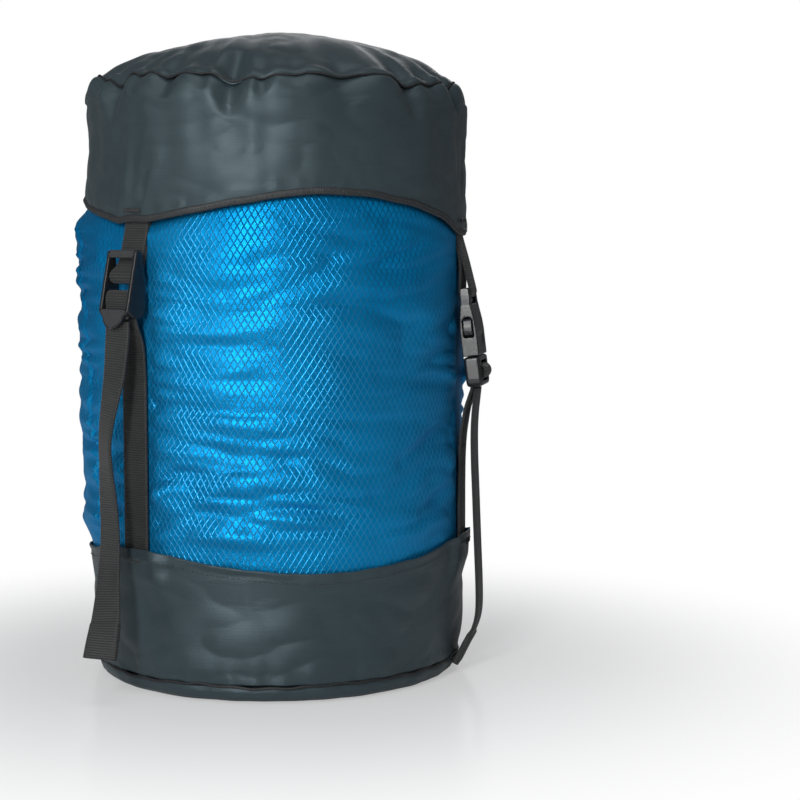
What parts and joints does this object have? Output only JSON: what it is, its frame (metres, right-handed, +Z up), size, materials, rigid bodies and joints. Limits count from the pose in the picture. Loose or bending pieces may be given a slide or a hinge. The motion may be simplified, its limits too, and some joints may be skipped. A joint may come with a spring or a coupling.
{
  "type": "compression sack",
  "caption": "Round stuffed compression sack: cloth tube, base cup and domed lid, drawn together by webbing straps with a ladder lock and side-release buckles.",
  "frame": {"origin": "centre of the base panel's flat underside, which stands on the ground", "axes": "+Z up the sack's axis from base to lid; the ladder lock's strap is at 135 degrees clockwise from +X seen from above, between -X and -Y, and the right buckle's strap is 15 degrees clockwise from +X"},
  "size_m": [0.1999, 0.1999, 0.313],
  "materials": {
    "ripstop": "satin blue ripstop nylon with a fine diamond grid",
    "black_cloth": "charcoal nylon with a silky sheen",
    "binding": "black woven binding tape",
    "webbing": "black ribbed webbing",
    "thread": "black sewing thread",
    "filling": "soft quilted filling",
    "buckle_plastic": "black satin moulded plastic"
  },
  "bodies": {
    "sack": {"packed_load": "filling", "body_tube": "ripstop", "mouth_channel": "ripstop", "base_panel": "black_cloth", "base_seam": "binding", "cup_wall": "black_cloth", "front_leg": "webbing", "right_leg": "webbing", "rear_leg": "webbing", "front_cup_tack": "thread", "right_cup_tack": "thread", "rear_cup_tack": "thread"},
    "lid": {"lid_crown": "black_cloth", "lid_rim_seam": "binding", "lid_wall": "black_cloth", "lid_hem_binding": "binding", "front_lid_loop": "webbing", "right_lid_loop": "webbing", "rear_lid_loop": "webbing", "front_lid_tack": "thread", "right_lid_tack": "thread", "rear_lid_tack": "thread", "right_socket": "buckle_plastic", "rear_socket": "buckle_plastic"},
    "ladder_lock": {"ladder_lock": "buckle_plastic", "front_wrap": "webbing", "front_tail": "webbing"},
    "right_plug": {"right_plug": "buckle_plastic", "right_wrap": "webbing", "right_tail": "webbing"},
    "right_prong_front": {"right_prong_front": "buckle_plastic"},
    "right_prong_back": {"right_prong_back": "buckle_plastic"},
    "rear_plug": {"rear_plug": "buckle_plastic", "rear_wrap": "webbing", "rear_tail": "webbing"},
    "rear_prong_left": {"rear_prong_left": "buckle_plastic"},
    "rear_prong_right": {"rear_prong_right": "buckle_plastic"}
  },
  "joints": [
    {"name": "lid_lift", "type": "slide", "parent": "sack", "child": "lid", "axis": [0, 0, 1], "range_m": [0, 0.1], "deforming": ["front_leg", "right_leg", "rear_leg", "front_tail", "right_tail", "rear_tail"]},
    {"name": "ladder_lock_tilt", "type": "hinge", "parent": "lid", "child": "ladder_lock", "pos_m": [-0.06947, -0.06947, 0.1965], "axis": [-0.7071, 0.7071, 0], "range_deg": [0, 20], "deforming": ["front_lid_loop"]},
    {"name": "right_buckle_release", "type": "slide", "parent": "lid", "child": "right_plug", "axis": [0.1144, -0.0306, -0.993], "range_m": [0, 0.03], "deforming": ["right_prong_front", "right_prong_back"]},
    {"name": "right_prong_front_squeeze", "type": "hinge", "parent": "right_plug", "child": "right_prong_front", "pos_m": [0.09398, -0.03491, 0.15859], "axis": [-0.9591, 0.257, -0.1184], "range_deg": [0, 7], "stiffness_Nm_per_rad": 0.02},
    {"name": "right_prong_back_squeeze", "type": "hinge", "parent": "right_plug", "child": "right_prong_back", "pos_m": [0.09885, -0.01675, 0.15859], "axis": [0.9591, -0.257, 0.1184], "range_deg": [0, 7], "stiffness_Nm_per_rad": 0.02},
    {"name": "rear_buckle_release", "type": "slide", "parent": "lid", "child": "rear_plug", "axis": [-0.0306, 0.1144, -0.993], "range_m": [0, 0.03], "deforming": ["rear_prong_left", "rear_prong_right"]},
    {"name": "rear_prong_left_squeeze", "type": "hinge", "parent": "rear_plug", "child": "rear_prong_left", "pos_m": [-0.03491, 0.09398, 0.15859], "axis": [-0.257, 0.9591, 0.1184], "range_deg": [0, 7], "stiffness_Nm_per_rad": 0.02},
    {"name": "rear_prong_right_squeeze", "type": "hinge", "parent": "rear_plug", "child": "rear_prong_right", "pos_m": [-0.01675, 0.09885, 0.15859], "axis": [0.257, -0.9591, -0.1184], "range_deg": [0, 7], "stiffness_Nm_per_rad": 0.02}
  ],
  "couplings": [
    {"joint": "right_prong_back_squeeze", "follows": "right_prong_front_squeeze", "ratio": 1},
    {"joint": "rear_prong_right_squeeze", "follows": "rear_prong_left_squeeze", "ratio": 1}
  ]
}
